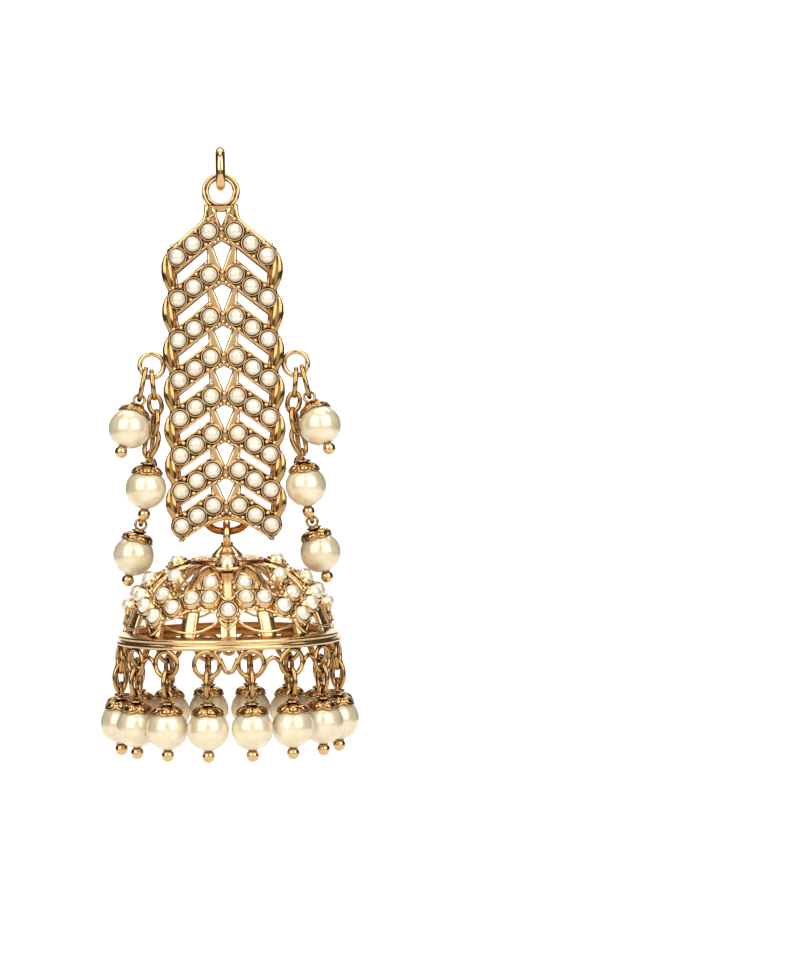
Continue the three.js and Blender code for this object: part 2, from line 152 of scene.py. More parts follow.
class Shapes:
    """Vertices in millimetres and faces of many simple shapes, joined into one mesh."""

    def __init__(self):
        self.verts, self.faces, self.kinds = [], [], []

    def put(self, verts, faces, place=None, kind=0):
        start = len(self.verts)
        place = place or Matrix()
        self.verts += [place @ Vector(v) for v in verts]
        self.faces += [[start + i for i in face] for face in faces]
        self.kinds += [kind] * len(faces)

    def lathe(self, profile, sides, place=None, kind=0):
        """Turns [radius, z] pairs round Z. An end on the axis is closed with a face."""
        verts, faces = [], []
        for r, z in profile:
            for i in range(sides):
                angle = 2 * math.pi * i / sides
                verts.append((r * math.cos(angle), r * math.sin(angle), z))
        for ring in range(len(profile) - 1):
            for i in range(sides):
                low, high = ring * sides, (ring + 1) * sides
                faces.append((low + i, low + (i + 1) % sides, high + (i + 1) % sides, high + i))
        for ring, order in ((0, -1), (len(profile) - 1, 1)):
            if profile[ring][0] < 0.01:
                faces.append([ring * sides + i for i in range(sides)][::order])
        self.put(verts, faces, place, kind)

    def tube(self, path, radius, sides=10, closed=False, place=None, kind=0, flat=1.0, up=None):
        """A wire along points. The radius may be a function of the share of the way along, and
        flat squeezes the wire in the direction that up gives."""
        points = [Vector(p) for p in path]
        count = len(points)
        verts, faces = [], []
        normal = None
        for i, point in enumerate(points):
            before = points[i - 1] if closed or i > 0 else point
            after = points[(i + 1) % count] if closed or i < count - 1 else point
            along = (after - before).normalized()
            if up is not None:
                normal = Vector(up)
            elif normal is None:
                normal = Vector((0, 0, 1)) if abs(along.z) < 0.9 else Vector((0, 1, 0))
            normal = (normal - along * normal.dot(along)).normalized()
            side = along.cross(normal)
            reach = radius(i / (count - 1)) if callable(radius) else radius
            for k in range(sides):
                angle = 2 * math.pi * k / sides
                verts.append(point + reach * (math.cos(angle) * side + flat * math.sin(angle) * normal))
        for i in range(count if closed else count - 1):
            for k in range(sides):
                a, b = i * sides, ((i + 1) % count) * sides
                faces.append((a + k, a + (k + 1) % sides, b + (k + 1) % sides, b + k))
        if not closed:
            faces.append(list(range(sides))[::-1])
            faces.append([(count - 1) * sides + k for k in range(sides)])
        self.put(verts, faces, place, kind)

    def ring(self, centre, half_a, half_b, wire, steps=36, sides=12, place=None, kind=0, flat=1.0):
        """An oval ring of wire, from its centre and its two half axes."""
        centre, half_a, half_b = Vector(centre), Vector(half_a), Vector(half_b)
        turns = [2 * math.pi * i / steps for i in range(steps)]
        path = [centre + math.cos(t) * half_a + math.sin(t) * half_b for t in turns]
        self.tube(path, wire / 2, sides, True, place, kind, flat, up=half_a.cross(half_b).normalized())

    def ball(self, centre, radius, place=None, kind=0, squash=1.0, sides=16):
        rings = sides // 2
        turns = [math.pi * (i / rings - 0.5) for i in range(1, rings)]
        profile = [(0.001, -radius * squash)]
        profile += [(radius * math.cos(t), radius * squash * math.sin(t)) for t in turns]
        profile += [(0.001, radius * squash)]
        move = Matrix.Translation(Vector(centre))
        self.lathe(profile, sides, (place or Matrix()) @ move, kind)

    def build(self, name, materials):
        mesh = bpy.data.meshes.new(name)
        mesh.from_pydata([v * MM for v in self.verts], [], self.faces)
        mesh.polygons.foreach_set("material_index", self.kinds)
        shell = bmesh.new()
        shell.from_mesh(mesh)
        bmesh.ops.recalc_face_normals(shell, faces=shell.faces)
        shell.to_mesh(mesh)
        shell.free()
        mesh.shade_smooth()
        for material in materials:
            mesh.materials.append(material)
        mesh.validate()
        return mesh


def piece(name, mesh, body, nodes=(), place=None):
    """Puts a mesh on a body, in place of the nodes named."""
    made = bpy.data.objects.new(name, mesh)
    bpy.context.collection.objects.link(made)
    if place is not None:
        made.matrix_world = place
    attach(made, body)
    if nodes:
        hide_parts(*nodes)
    return made


def plated_gold(name, light, dark, grain_mm, roughness, depth, painted_shade_reach_mm=1.1):
    """Brass, cast and drawn, polished and plated with pale gold: a bright warm mirror whose recesses
    are darkened by painted shade, over a slightly wavy cast surface with fine polishing grain. The
    grain is drawn coarser than the real one, so that it shows."""
    material, tree = new_material(name)
    place = add(tree, "ShaderNodeTexCoord").outputs["Object"]
    wave = add(tree, "ShaderNodeTexNoise", Vector=place, Scale=1 / (2.4 * MM), Detail=2.0)
    grain = add(tree, "ShaderNodeTexNoise", Vector=place, Scale=1 / (grain_mm * MM), Detail=4.0)
    # Painted shade: ambient occlusion turns the colour towards the dark one in recesses and between parts.
    painted_shade_ao = add(tree, "ShaderNodeAmbientOcclusion", {"samples": 6}, Distance=painted_shade_reach_mm * MM)
    shade = add(tree, "ShaderNodeMapRange", Value=painted_shade_ao.outputs["AO"])
    shade.inputs["From Min"].default_value = 0.2
    shade.inputs["From Max"].default_value = 0.78
    colour = add(tree, "ShaderNodeMix", {"data_type": "RGBA"}, Factor=shade.outputs["Result"])
    colour.inputs["A"].default_value = linear(dark)
    colour.inputs["B"].default_value = linear(light)
    gloss = add(tree, "ShaderNodeMapRange", Value=grain.outputs["Fac"])
    gloss.inputs["To Min"].default_value = roughness - 0.05
    gloss.inputs["To Max"].default_value = roughness + 0.07
    height = add(tree, "ShaderNodeMath", {"operation": "MULTIPLY_ADD"})
    tree.links.new(grain.outputs["Fac"], height.inputs[0])
    height.inputs[1].default_value = 0.12
    tree.links.new(wave.outputs["Fac"], height.inputs[2])
    bump = add(tree, "ShaderNodeBump", Strength=depth, Distance=0.12 * MM, Height=height.outputs[0])
    metal = add(tree, "ShaderNodeBsdfPrincipled", Base_Color=colour.outputs["Result"], Metallic=1.0,
                Roughness=gloss.outputs["Result"], Normal=bump.outputs["Normal"])
    add(tree, "ShaderNodeOutputMaterial", Surface=metal.outputs["BSDF"])
    return material


# Drawn wire is the smoothest. Small links, lace, leaves and caps are a darker gold, painted shade for
# the dark edges of thin wires. Castings keep a fine skin of sand. Sawn walls and grooves are painted
# shade in brown, and the bell's crown and inside, the eyelet and the leaf ribs are painted shade in
# a darker shaded gold.
wire_gold = plated_gold("plated_gold_wire", "#E2BC88", "#46290F", 0.5, 0.14, 0.12)
# A darker gold: painted shade that stands in for the dark edges of thin wires.
shade_darkened_gold = plated_gold("plated_gold_shade_darkened", "#C0975F", "#2C190A", 0.5, 0.12, 0.12)
cast_gold = plated_gold("plated_gold_cast", "#E6C18F", "#805A30", 0.35, 0.2, 0.4, 0.55)
# Brown of painted shade, for the plate's walls and the grooves round the half pearls.
painted_shade_brown = plated_gold("plated_gold_painted_shade_brown", "#64391A", "#241306", 0.35, 0.38, 0.4)
# A darker gold of painted shade, for the bell's crown and inside, the eyelet and the leaf ribs.
shaded_gold = plated_gold("plated_gold_shaded", "#A8692F", "#2E1A0A", 0.35, 0.26, 0.4)

hanging = Shapes()
hanging.ring((0, 0, -HANG_HOLE_HEIGHT / 2), (0, (HANG_HOLE_DEPTH + HANG_WIRE) / 2, 0),
             (0, 0, (HANG_HOLE_HEIGHT + HANG_WIRE) / 2), HANG_WIRE, 64, 24)
piece("hanging_ring_wire", hanging.build("hanging_ring_wire", [wire_gold]), "hanging_ring",
      ["hanging_ring"])

# Plaque: a flat pierced casting of gold plated brass. Eight inverted V rows carry six half
# pearls each, glued into cast seats, with beads between them. Leaves run down both sides, two
# neck bars rise to a stepped ring, and rings and an eyelet are soldered on.
PLATE, ROWS, NECK, FIRST_PITCH, LAST_PITCH = 1.3, 8, 4.04, 6.24, 5.1
STONE, STONE_HEIGHT, SEAT_WALL = 2.5, 1.35, 0.2
STONE_X = (1.87, 4.2, 6.5)
ROW_DROP, FOOT_SHARE, SIDE_SHARE = 0.58, 0.25, 0.62     # shares of a pitch
RING_HOLE, OUTER_BEAD, INNER_BEAD = 3.36, 0.6, 0.56
LEAF_BULGE = 0.65
SIDE_RING, SIDE_WIRE, SIDE_ROW, SIDE_SINK = 4.2, 0.75, 2, 0.25
EYELET_WIRE, EYELET_WIDTH, EYELET_REACH, EYELET_LEAN, EYELET_SOLDER = 0.8, 6.2, 4.4, 50, 0.3

ring_z = -HANG_HOLE_HEIGHT + LINK_GAP - RING_HOLE / 2
plaque_top = ring_z - RING_HOLE / 2


def pitch(row):
    """Height from the crest of a row down to the next one's."""
    return FIRST_PITCH + (LAST_PITCH - FIRST_PITCH) * row / (ROWS - 2)


row_z = [plaque_top - NECK]
for row in range(1, ROWS):
    row_z.append(row_z[-1] - pitch(row - 1))


def drop(row):
    """How far a row's outer half pearls hang below its two middle ones."""
    return ROW_DROP * pitch(min(row, ROWS - 2))


seat_radius = STONE / 2 + SEAT_WALL
rail_x = STONE_X[2] + seat_radius
leaf_x = rail_x + LEAF_BULGE
foot_z = row_z[-1] - FOOT_SHARE * LAST_PITCH


def stone_places(row):
    """The six half pearls of a row as (x, z): the middle one of each three stands half way down."""
    shares = (0, 0.5, 1)
    return [(side * x, row_z[row] - share * drop(row))
            for side in (-1, 1) for x, share in zip(STONE_X, shares)]


def mirrored(points):
    """Goes on from a right half of (x, z) points with the left half."""
    return points + [(-x, z) for x, z in reversed(points) if x]


def plate_outline():
    """The right half in shares of the plate's own widths and pitches, then mirrored."""
    neck = ((0.2, 0.05), (0.28, 0.1), (0.275, 0.4), (0.345, 0.62), (0.6, 1.02))
    bulge = ((0.926, 0.16), (0.91, -0.2), (0.97, -0.38), (0.97, -0.64), (0.915, -0.8))
    foot = ((1.0, 0.16), (1.0, -0.1), (0.94, -0.26), (0.8, -0.45), (0.66, -0.22), (0.55, 0.01),
            (0.34, 0.08))
    points = [(x * rail_x, plaque_top - z * NECK) for x, z in neck]
    for row in range(ROWS - 1):
        points += [(x * leaf_x, row_z[row] - drop(row) + z * pitch(row)) for x, z in bulge]
    points += [(x * rail_x, row_z[-1] - drop(ROWS - 1) + z * LAST_PITCH) for x, z in foot]
    return mirrored(points + [(0, foot_z)])


def plate_gaps():
    """The openings: one in the neck, and under each row a heart and a slant on each side."""
    heart = ((0, -0.235), (0.66, -0.36), (0.42, -0.56), (0, -0.9))
    slant = ((0.28, -0.42), (0.82, -0.99), (0.8, -1.22), (0.27, -0.66))
    neck = ((0, 0.32), (0.5, 0.26), (0, 0.82))
    gaps = [mirrored([(x * STONE_X[0], plaque_top - z * NECK) for x, z in neck])]
    for row in range(ROWS - 1):
        top, step = row_z[row], pitch(row)
        gaps.append(mirrored([(x * STONE_X[0], top + z * step) for x, z in heart]))
        for side in (-1, 1):
            gaps.append([(side * x * rail_x, top + z * step) for x, z in slant])
    return gaps


def cut_plate(name, outlines, thickness, bevel, material):
    """A flat sheet from closed outlines, the inner ones cut out, with rounded edges."""
    curve = bpy.data.curves.new(name, "CURVE")
    curve.dimensions = "2D"
    curve.fill_mode = "BOTH"
    curve.extrude = (thickness / 2 - bevel) * MM
    curve.bevel_depth = bevel * MM
    curve.bevel_resolution = 2
    curve.offset = -bevel * MM
    for points in outlines:
        spline = curve.splines.new("POLY")
        spline.points.add(len(points) - 1)
        for point, (x, z) in zip(spline.points, points):
            point.co = (x * MM, z * MM, 0, 1)
        spline.use_cyclic_u = True
    maker = bpy.data.objects.new(name, curve)
    bpy.context.collection.objects.link(maker)
    maker.matrix_world = Matrix.Rotation(math.pi / 2, 4, "X")
    bpy.context.view_layer.update()
    finished = maker.evaluated_get(bpy.context.evaluated_depsgraph_get())
    mesh = bpy.data.meshes.new_from_object(finished)
    mesh.transform(maker.matrix_world)
    mesh.materials.clear()
    mesh.materials.append(material)
    bpy.data.objects.remove(maker)
    return mesh


EDGE_ROUNDING, SHADED_WALL_FACING = 0.3, 0.88
plate_mesh = cut_plate("plaque_plate", [plate_outline()] + plate_gaps(), PLATE, EDGE_ROUNDING, cast_gold)
# The walls and rounded edges, every face not turned to the front, are painted shade in brown.
plate_mesh.materials.append(painted_shade_brown)
for face in plate_mesh.polygons:
    if abs(face.normal.y) < SHADED_WALL_FACING:
        face.material_index = 1
piece("plaque_plate", plate_mesh, "plaque", ["plaque"])

FRONT = Matrix.Rotation(math.pi / 2, 4, "X")


def faces_front(x, z):
    """Places a shape made along +Z so that it stands on the plate's front."""
    return Matrix.Translation((x, -PLATE / 2, z)) @ FRONT


def bezel(shapes, place, radius=STONE / 2, height=0.5, lift=0.0):
    """The raised seat round a half pearl: a skirt, a thin bright lip and a groove in painted shade."""
    shapes.lathe([(0.001, lift - 0.35), (radius + 0.3, lift - 0.35), (radius + 0.36, lift - 0.25),
                  (radius + 0.34, lift + 0.02), (radius + 0.22, lift + 0.14), (radius + 0.18, height * 0.8),
                  (radius + 0.13, height * 0.97), (radius + 0.07, height), (radius + 0.03, height * 0.92)],
                 28, place)
    # The groove is painted shade.
    shapes.lathe([(radius + 0.03, height * 0.92), (radius, height * 0.5), (radius - 0.02, 0.02),
                  (radius - 0.3, 0.0)], 28, place, 1)


PRONG, SMALL_PRONG, PRONG_FROM_ROW = 0.34, 0.3, 1.25
CREST_PRONGS = ((0, -0.75), (0.55, -1.15), (-0.55, -1.15), (0, 0.35), (0.95, -1.55), (-0.95, -1.55))
settings = Shapes()
for row in range(ROWS):
    for x, z in stone_places(row):
        bezel(settings, faces_front(x, z))
    for side in (-1, 1):
        places = [place for place in stone_places(row) if place[0] * side > 0]
        for (x1, z1), (x2, z2) in zip(places, places[1:]):
            along = Vector((x2 - x1, 0, z2 - z1)).normalized()
            across = Vector((-along.z, 0, along.x))
            between = Vector(((x1 + x2) / 2, -PLATE / 2 - 0.22, (z1 + z2) / 2))
            for way in (-1, 1):
                settings.ball(between + across * way * PRONG_FROM_ROW, PRONG, squash=0.9, sides=12)
        inner_prong = (side * STONE_X[0], -PLATE / 2 - 0.2, row_z[row] + 1.75)
        outer_prong = (side * 7.15, -PLATE / 2 - 0.2, row_z[row] - drop(row) + 1.65)
        settings.ball(inner_prong, 0.33, sides=12)
        settings.ball(outer_prong, SMALL_PRONG, sides=12)
    for x, dz in CREST_PRONGS:
        settings.ball((x, -PLATE / 2 - 0.18, row_z[row] + dz), SMALL_PRONG, sides=12)
piece("plaque_settings", settings.build("plaque_settings", [cast_gold, painted_shade_brown]), "plaque")

EDGE_LINE, EDGE_FROM_ROW, EDGE_X = 0.17, 1.9116, (0.6, 2.4, 4.2, 5.6, 6.9)
edges = Shapes()
for row in range(ROWS):
    slope = drop(row) / (STONE_X[2] - STONE_X[0])
    for side in (-1, 1):
        for way in (1, -1):
            reached = EDGE_X[1:] if way > 0 and row > 0 else EDGE_X
            heights = [row_z[row] - slope * (x - STONE_X[0]) + way * EDGE_FROM_ROW for x in reached]
            edges.tube([(side * x, -PLATE / 2 - 0.1, z) for x, z in zip(reached, heights)], EDGE_LINE, 8)
piece("plaque_edges", edges.build("plaque_edges", [wire_gold]), "plaque")


def leaf(leaves, ribs, side, outer_z, step):
    """One side leaf, a blade that bulges out under its stone and runs in to the next, and the
    thin rib in painted shade between it and the slanted gap."""
    blade = ((0.915, 0.1, 0.2), (0.93, -0.03, 0.5), (0.93, -0.18, 0.78), (0.92, -0.36, 0.9),
             (0.9, -0.54, 0.82), (0.87, -0.7, 0.58), (0.84, -0.84, 0.28))
    path = [(side * x * leaf_x, -PLATE / 2 - 0.08, outer_z + z * step) for x, z, _ in blade]
    widths = [width for _, _, width in blade]
    leaves.tube(path, lambda t: widths[round(t * (len(widths) - 1))], 14, flat=0.5, up=(0, -1, 0))
    rib = ((0.83, -0.24), (0.815, -0.45), (0.82, -0.72))
    path = [(side * x * leaf_x, -PLATE / 2 - 0.02, outer_z + z * step) for x, z in rib]
    ribs.tube(path, 0.3, 10, flat=0.7, up=(0, -1, 0))


leaves, leaf_ribs = Shapes(), Shapes()
for row in range(ROWS - 1):
    for side in (-1, 1):
        leaf(leaves, leaf_ribs, side, row_z[row] - drop(row), pitch(row))
piece("plaque_leaves", leaves.build("plaque_leaves", [shade_darkened_gold]), "plaque")
piece("plaque_leaf_ribs", leaf_ribs.build("plaque_leaf_ribs", [shaded_gold]), "plaque")

BAR = ((2.05, 0.02), (2.15, 0.22), (2.2, 0.42), (2.5, 0.62), (3.5, 0.86), (4.8, 1.12), (6.2, 1.42),
       (7.3, 1.7), (7.75, 1.95))
SPIKE = ((1.2, 0.12), (1.0, 0.35), (0.6, 0.7), (0.15, 1.0))
neck = Shapes()
outer_reach, inner_reach = RING_HOLE / 2 + 0.8, (RING_HOLE + INNER_BEAD) / 2
neck.ring((0, 0, ring_z), (outer_reach, 0, 0), (0, 0, outer_reach), OUTER_BEAD, 64, 14)
neck.ring((0, 0, ring_z), (inner_reach, 0, 0), (0, 0, inner_reach), INNER_BEAD, 64, 14, flat=1.5)
for side in (-1, 1):
    bar = [(side * x, -PLATE / 2 - 0.02, plaque_top - z * NECK) for x, z in BAR]
    spike = [(side * x, -PLATE / 2 - 0.02, plaque_top - z * NECK) for x, z in SPIKE]
    neck.tube(bar, 0.36, 12)
    neck.tube(spike, lambda t: 0.42 - 0.3 * t, 10)
side_half = (SIDE_RING - SIDE_WIRE) / 2
side_x = leaf_x + SIDE_RING / 2 - SIDE_SINK
side_z = row_z[SIDE_ROW] - drop(SIDE_ROW) - SIDE_SHARE * pitch(SIDE_ROW)
for side in (-1, 1):
    neck.ring((side * side_x, 0, side_z), (side_half, 0, 0), (0, 0, side_half), SIDE_WIRE, 48, 14)
lean_angle = math.radians(EYELET_LEAN)
lean_back = Vector((0, math.cos(lean_angle), -math.sin(lean_angle)))
eyelet_start = Vector((0, 0, foot_z + 0.1))
eyelet_half = (EYELET_REACH - EYELET_WIRE) / 2
eyelet_end = eyelet_start + lean_back * 2 * eyelet_half
# The eyelet is painted shade, in the shaded gold.
neck.ring(eyelet_start + lean_back * eyelet_half, ((EYELET_WIDTH - EYELET_WIRE) / 2, 0, 0),
          lean_back * eyelet_half, EYELET_WIRE + EYELET_SOLDER, 56, 14, kind=1)
gable = mirrored([(-3.3, foot_z - 1.5), (-1.7, foot_z - 0.85), (0, foot_z - 0.35)])
neck.tube([(x, -PLATE / 2 + 0.2, z) for x, z in gable], 0.42, 12, flat=0.9, up=(0, -1, 0))
piece("plaque_rings", neck.build("plaque_rings", [wire_gold, shaded_gold]), "plaque")


def pearl_lustre(name, pale, deep, roughness):
    """Glass bead in many coats of pearl essence: an ivory depth that clouds to champagne, a soft
    metallic lustre from the flakes in it, and a clear glossy skin with a faint orange peel, drawn
    coarser than the real one, so that it shows."""
    material, tree = new_material(name)
    place = add(tree, "ShaderNodeTexCoord").outputs["Object"]
    cloud = add(tree, "ShaderNodeTexNoise", Vector=place, Scale=1 / (2.6 * MM), Detail=3.0)
    blend = add(tree, "ShaderNodeMapRange", Value=cloud.outputs["Fac"])
    blend.inputs["From Min"].default_value = 0.3
    blend.inputs["From Max"].default_value = 0.75
    colour = add(tree, "ShaderNodeMix", {"data_type": "RGBA"}, Factor=blend.outputs["Result"])
    colour.inputs["A"].default_value = linear(pale)
    colour.inputs["B"].default_value = linear(deep)
    orange_peel = add(tree, "ShaderNodeTexNoise", Vector=place, Scale=1 / (0.5 * MM), Detail=2.0)
    bump = add(tree, "ShaderNodeBump", Strength=0.05, Distance=0.03 * MM,
               Height=orange_peel.outputs["Fac"])
    nacre = add(tree, "ShaderNodeBsdfPrincipled", Base_Color=colour.outputs["Result"], Metallic=0.3,
                Roughness=roughness, Coat_Weight=1.0, Coat_Roughness=0.05, Coat_IOR=1.7,
                Normal=bump.outputs["Normal"])
    add(tree, "ShaderNodeOutputMaterial", Surface=nacre.outputs["BSDF"])
    return material


half_pearl = pearl_lustre("half_pearl", "#F7F0E0", "#E6D4AE", 0.26)
drop_pearl = pearl_lustre("drop_pearl", "#F4E8CE", "#DCC592", 0.32)


def cabochon(shapes, place):
    """A half pearl, a little narrower than its seat and sunk into it."""
    steps = [math.radians(90 * i / 8) for i in range(9)]
    radius = STONE / 2 - 0.06
    profile = [(radius, -0.1)]
    profile += [(max(radius * math.cos(t), 0.002), STONE_HEIGHT * math.sin(t)) for t in steps]
    shapes.lathe(profile, 32, place)


stones = Shapes()
for row in range(ROWS):
    for x, z in stone_places(row):
        cabochon(stones, faces_front(x, z))
piece("plaque_half_pearls", stones.build("plaque_half_pearls", [half_pearl]), "plaque")

# Pearl drops: a 6 mm glass pearl on a gold head pin with a ball tip, under a petal cap and a
# washer. The pin's end is turned into an eye. Each hangs from a link.
EYE, EYE_WIRE, EYE_SINK = 2.0, 0.42, 0.15
WASHER_HEIGHT, CAP, CAP_HEIGHT, PEARL, BALL, BALL_SINK = 0.45, 4.5, 1.2, 6.0, 1.84, 0.2
CAP_MOUTH = 0.93        # share of the cap's width that grips the pearl
washer_top = -EYE / 2 + EYE_SINK
cap_top = washer_top - WASHER_HEIGHT
pearl_z = cap_top - CAP_HEIGHT - math.sqrt((PEARL / 2) ** 2 - (CAP_MOUTH * CAP / 2) ** 2)
ball_z = pearl_z - PEARL / 2 - BALL / 2 + BALL_SINK
PETALS = 6

fittings = Shapes()
fittings.ring((0, 0, 0), ((EYE - EYE_WIRE) / 2, 0, 0), (0, 0, (EYE - EYE_WIRE) / 2), EYE_WIRE, 32, 10)
fittings.lathe([(0.25, washer_top + 0.18), (0.8, washer_top + 0.1), (1.1, washer_top - 0.02),
                (1.12, washer_top - 0.2), (0.9, washer_top - 0.3), (0.6, cap_top)], 32)
fittings.lathe([(0.5, cap_top + 0.1), (1.0, cap_top), (1.5, cap_top - 0.14), (1.9, cap_top - 0.4),
                (2.1, cap_top - 0.8), (2.0, cap_top - 1.05), (1.5, cap_top - 0.7)], 48)
for petal in range(PETALS):
    turn = Matrix.Rotation(2 * math.pi * petal / PETALS, 4, "Z")
    tilt = Matrix.Translation((1.6, 0, cap_top - 0.48)) @ Matrix.Rotation(math.radians(34), 4, "Y")
    fittings.ball((0, 0, 0), 0.8, turn @ tilt, squash=0.5, sides=20)
wave, wave_steps = [], 96
for i in range(wave_steps):
    angle = 2 * math.pi * i / wave_steps
    lobe = abs(math.cos(PETALS * angle / 2)) ** 0.6
    reach = 2.08 + 0.18 * lobe
    wave.append((reach * math.cos(angle), reach * math.sin(angle), cap_top - 0.78 - 0.34 * lobe))
fittings.tube(wave, 0.17, 8, closed=True)
fittings.ball((0, 0, ball_z), BALL / 2, kind=1, sides=24)
fittings.lathe([(0.5, ball_z + 0.7), (0.42, ball_z + 0.95), (0.3, ball_z + 1.3)], 20, kind=1)
fittings_mesh = fittings.build("drop_fittings", [shade_darkened_gold, wire_gold])
bead = Shapes()
bead.ball((0, 0, pearl_z), PEARL / 2, sides=56)
bead_mesh = bead.build("drop_bead", [drop_pearl])


def hang_drop(name, node, body, place):
    """A pearl and its fittings, hung by the eye of the pin."""
    piece(name + "_pearl", bead_mesh, body, [node], place)
    piece(name + "_fittings", fittings_mesh, body, (), place)


# Side strands: a leaning first drop on its own link, and a chain of small oval links soldered
# shut that carries two lower drops, the second behind the first.
CHAIN_WIRE, CHAIN_WIDTH, FIRST_LENGTH, SOLDER, FIRST_LEAN, FIRST_OUT = 0.6, 2.4, 5.2, 0.1, 13, 38
SOLDER_SWELL = 0.12     # plating and solder thicken the drawn wire
FRONT_STRAND, REAR_STRAND = 11.2, 21.2
FRONT_ROUTE = [(-0.025, 0.005, -0.245, 90), (-0.05, 0.015, -0.45, 0), (-0.02, 0.02, -0.71, 70),
               (0.06, 0, -1, 0)]
REAR_ROUTE = [(0, 0.137, -0.385, 60), (0.02, 0.2, -0.575, 90), (0.05, 0.2, -0.79, 0),
              (0.095, 0.185, -1, 90)]
STRAND_LEANS = [(-20, 20, 0), (0, 5, 90), (0, 14, 0)]
chain_hold = SIDE_WIRE / 2 + LINK_GAP + CHAIN_WIRE / 2
ring_floor = side_z - side_half
chain_overlap = (CHAIN_WIRE - SOLDER) / 2


def link_between(shapes, top, foot, width, wire, turn=90.0):
    """An oval link hung between two points, turned about the line that joins them."""
    across = Vector((math.cos(math.radians(turn)), math.sin(math.radians(turn)), 0))
    shapes.ring((top + foot) / 2, across * (width - wire) / 2, (foot - top) / 2, wire + SOLDER_SWELL, 36, 12)


def strand_point(side, stop, length):
    """A stop of a route, whose numbers are shares of the strand's length."""
    return Vector((side * (side_x + stop[0] * length), stop[1] * length, ring_floor + stop[2] * length))


def strand_chain(shapes, side, start, route, length):
    """Adds the links of one strand and gives the foot of the last one."""
    stops = [start] + [strand_point(side, stop, length) for stop in route]
    for index, (_, _, _, turn) in enumerate(route):
        along = (stops[index + 1] - stops[index]).normalized()
        top = stops[index] - along * chain_overlap
        foot = stops[index + 1] + along * chain_overlap
        link_between(shapes, top, foot, CHAIN_WIDTH, CHAIN_WIRE, side * turn)
    return foot


def strand_eye(eye, side, lean_x, lean_y, eye_turn):
    """Stands a drop at the foot of its link, with its lean and its turn in degrees."""
    sideways = Matrix.Rotation(math.radians(-side * lean_y), 4, "Y")
    forwards = Matrix.Rotation(math.radians(lean_x), 4, "X")
    turned = Matrix.Rotation(math.radians(eye_turn), 4, "Z")
    return Matrix.Translation(eye * MM) @ sideways @ forwards @ turned


for name, side in (("left", -1), ("right", 1)):
    out = math.radians(FIRST_OUT)
    held = Vector((side_x + side_half * math.sin(out), 0, side_z - side_half * math.cos(out)))
    down = Vector((math.sin(math.radians(FIRST_LEAN)), 0, -math.cos(math.radians(FIRST_LEAN))))
    top = held - down * chain_hold
    foot = top + down * (FIRST_LENGTH - CHAIN_WIRE)
    top.x, foot.x = side * top.x, side * foot.x
    first = Shapes()
    link_between(first, top, foot, CHAIN_WIDTH, CHAIN_WIRE)
    first_mesh = first.build(f"{name}_first_link", [shade_darkened_gold])
    piece(f"{name}_first_link", first_mesh, "plaque", [f"{name}_link"])
    links = Shapes()
    chain_top = Vector((side * side_x, 0, ring_floor + chain_hold - chain_overlap))
    front_foot = strand_chain(links, side, chain_top, FRONT_ROUTE, FRONT_STRAND)
    branch = strand_point(side, FRONT_ROUTE[1], FRONT_STRAND)
    rear_foot = strand_chain(links, side, branch, REAR_ROUTE, REAR_STRAND)
    links_mesh = links.build(f"{name}_chain_links", [shade_darkened_gold])
    piece(f"{name}_chain_links", links_mesh, "plaque", [f"{name}_chain"])
    for index, (eye, leans) in enumerate(zip((foot, front_foot, rear_foot), STRAND_LEANS)):
        place = strand_eye(eye, side, *leans)
        hang_drop(f"{name}_drop_{index + 1}", f"{name}_pearl_{index + 1}", "plaque", place)

# Bell: a pierced bell of gold plated brass, sixteen flat polished ribs soldered between a petalled
# crown and a stepped rim. It hangs by the loop on its pinched finial from the plaque's eyelet.
LOOP_WIRE, LOOP_DEPTH, LOOP_PLAY = 1.1, 3.5, 1.3
BELL_WALL, BELL, BELL_HEIGHT, FINIAL_HEIGHT, RIM, RIM_HEIGHT = 1.0, 15.5, 10.8, 2.4, 16.5, 1.5
RIBS, RIB_WIDTH, RIB_TOP = 16, 2.3, 1.7
loop_top = eyelet_end.z + EYELET_WIRE / 2 + LINK_GAP + LOOP_WIRE
loop_floor = eyelet_end.z - EYELET_WIRE / 2 - LOOP_PLAY
loop_half = (loop_top - loop_floor) / 2
finial_top = loop_floor + 0.2
bell_top = finial_top - FINIAL_HEIGHT
rim_top = bell_top - BELL_HEIGHT
rim_floor = rim_top - RIM_HEIGHT
BELL_AXIS = Matrix.Translation((0, eyelet_end.y, 0))
BELL_PROFILE = [(0, 0), (0.35, 0.03), (0.5, 0.085), (0.62, 0.18), (0.74, 0.31), (0.86, 0.52), (0.94, 0.74),
                (0.985, 0.92), (1.0, 1.0)]


def shell_at(share):
    """Radius, z and outward slope of the bell's outer face at a share of its height."""
    for (r1, z1), (r2, z2) in zip(BELL_PROFILE, BELL_PROFILE[1:]):
        if share <= z2:
            break
    mix = (share - z1) / (z2 - z1)
    slope = math.atan2((z2 - z1) * BELL_HEIGHT, (r2 - r1) * BELL)
    return (r1 + mix * (r2 - r1)) * BELL, bell_top - share * BELL_HEIGHT, slope


def on_bell(azimuth, share, lift=0.0):
    """Places a shape made along +Z so that it stands on the bell; azimuth 0 is the front."""
    r, z, slope = shell_at(share)
    spin = Matrix.Rotation(math.radians(azimuth - 90), 4, "Z")
    outwards = Matrix.Rotation(slope, 4, "Y") @ Matrix.Translation((0, 0, lift))
    return BELL_AXIS @ spin @ Matrix.Translation((r, 0, z)) @ outwards


